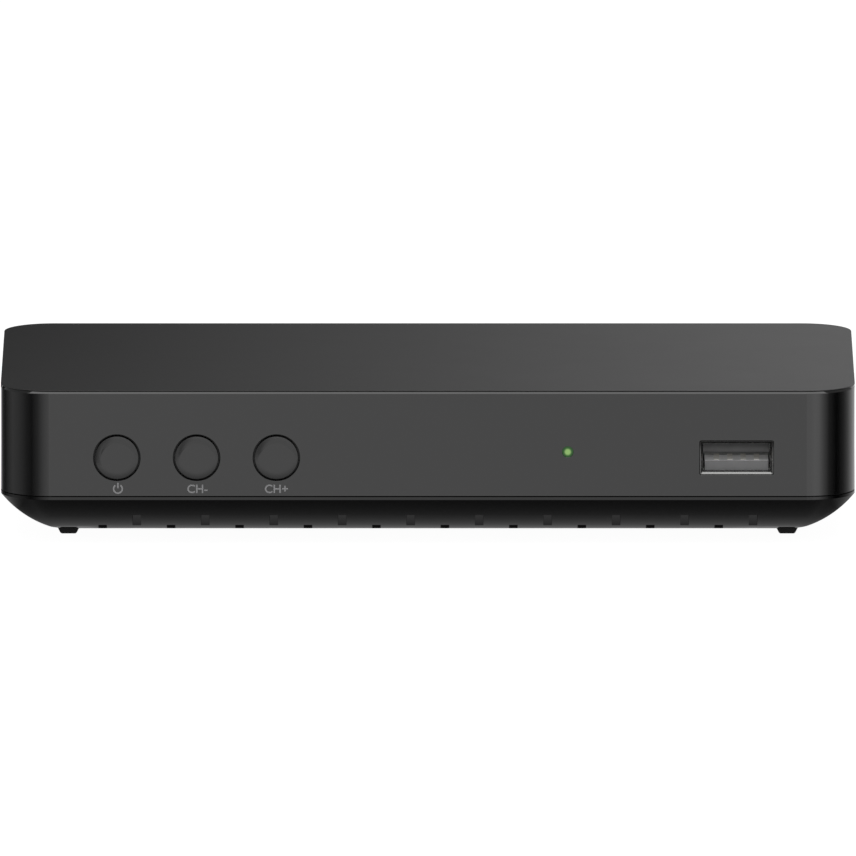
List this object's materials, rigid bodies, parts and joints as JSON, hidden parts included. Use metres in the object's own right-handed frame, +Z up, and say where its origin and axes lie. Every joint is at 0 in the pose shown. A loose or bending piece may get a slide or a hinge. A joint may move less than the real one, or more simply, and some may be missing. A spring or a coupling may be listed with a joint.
{
  "type": "digital television receiver",
  "caption": "Flat black set-top digital television receiver with sprung round front keys, a status lamp, a front USB socket, a bowl-shaped vented base and rear aerial and picture sockets.",
  "frame": {"origin": "on the table, under the middle of the overall box", "axes": "+Z up, the front faces -Y, +X to the right as seen from the front"},
  "size_m": [0.16, 0.0912, 0.0296],
  "materials": {
    "cover_black": "fine matte texture",
    "band_black": "glossy",
    "base_black": "satin",
    "foot_rubber": "matte",
    "key_black": "satin gloss",
    "lamp_clear": "clear, lit green",
    "black_plastic": "moulded",
    "grey_plastic": "moulded",
    "cream_plastic": "moulded",
    "orange_plastic": "moulded",
    "board_green": "solder resist",
    "nickel": "nickel plated",
    "tin_sheet": "tinned sheet",
    "brass": "gold plated",
    "steel": "zinc plated",
    "alu": "anodised"
  },
  "bodies": {
    "case": {"antenna_in_contact": "brass", "antenna_in_insulator": "cream_plastic", "antenna_in_socket": "nickel", "antenna_out_insulator": "cream_plastic", "antenna_out_pin": "brass", "antenna_out_plug": "nickel", "av_jack": "black_plastic", "base_tub": "base_black", "capacitors": "alu", "case_screws": "steel", "channel_down_switch_body": "black_plastic", "channel_up_switch_body": "black_plastic", "crystal": "tin_sheet", "digital_audio_body": "black_plastic", "digital_audio_insulator": "orange_plastic", "digital_audio_shell": "nickel", "flash_chip": "black_plastic", "foot_front_left": "foot_rubber", "foot_front_right": "foot_rubber", "foot_rear_left": "foot_rubber", "foot_rear_right": "foot_rubber", "front_panel": "band_black", "hdmi_shell": "tin_sheet", "hdmi_tongue": "black_plastic", "heat_sink": "alu", "inductors": "grey_plastic", "ir_receiver": "black_plastic", "key_guide": "black_plastic", "led_light_pipe": "lamp_clear", "led_spacer": "black_plastic", "main_board": "board_green", "main_processor": "black_plastic", "memory_chip": "black_plastic", "power_inlet_body": "black_plastic", "power_inlet_pin": "nickel", "power_switch_body": "black_plastic", "rear_panel": "band_black", "side_panel_left": "band_black", "side_panel_right": "band_black", "status_led": "lamp_clear", "top_cover": "cover_black", "tuner_can": "tin_sheet", "tuner_lid": "tin_sheet", "usb_contacts": "brass", "usb_shell": "tin_sheet", "usb_tongue": "grey_plastic"},
    "power_key": {"power_button": "key_black", "power_switch_plunger": "grey_plastic"},
    "channel_down_key": {"channel_down_button": "key_black", "channel_down_switch_plunger": "grey_plastic"},
    "channel_up_key": {"channel_up_button": "key_black", "channel_up_switch_plunger": "grey_plastic"}
  },
  "joints": [
    {"name": "power_press", "type": "slide", "parent": "case", "child": "power_key", "axis": [0, 1, 0], "range_m": [0, 0.0006], "stiffness_N_per_m": 1500},
    {"name": "channel_down_press", "type": "slide", "parent": "case", "child": "channel_down_key", "axis": [0, 1, 0], "range_m": [0, 0.0006], "stiffness_N_per_m": 1500},
    {"name": "channel_up_press", "type": "slide", "parent": "case", "child": "channel_up_key", "axis": [0, 1, 0], "range_m": [0, 0.0006], "stiffness_N_per_m": 1500}
  ]
}
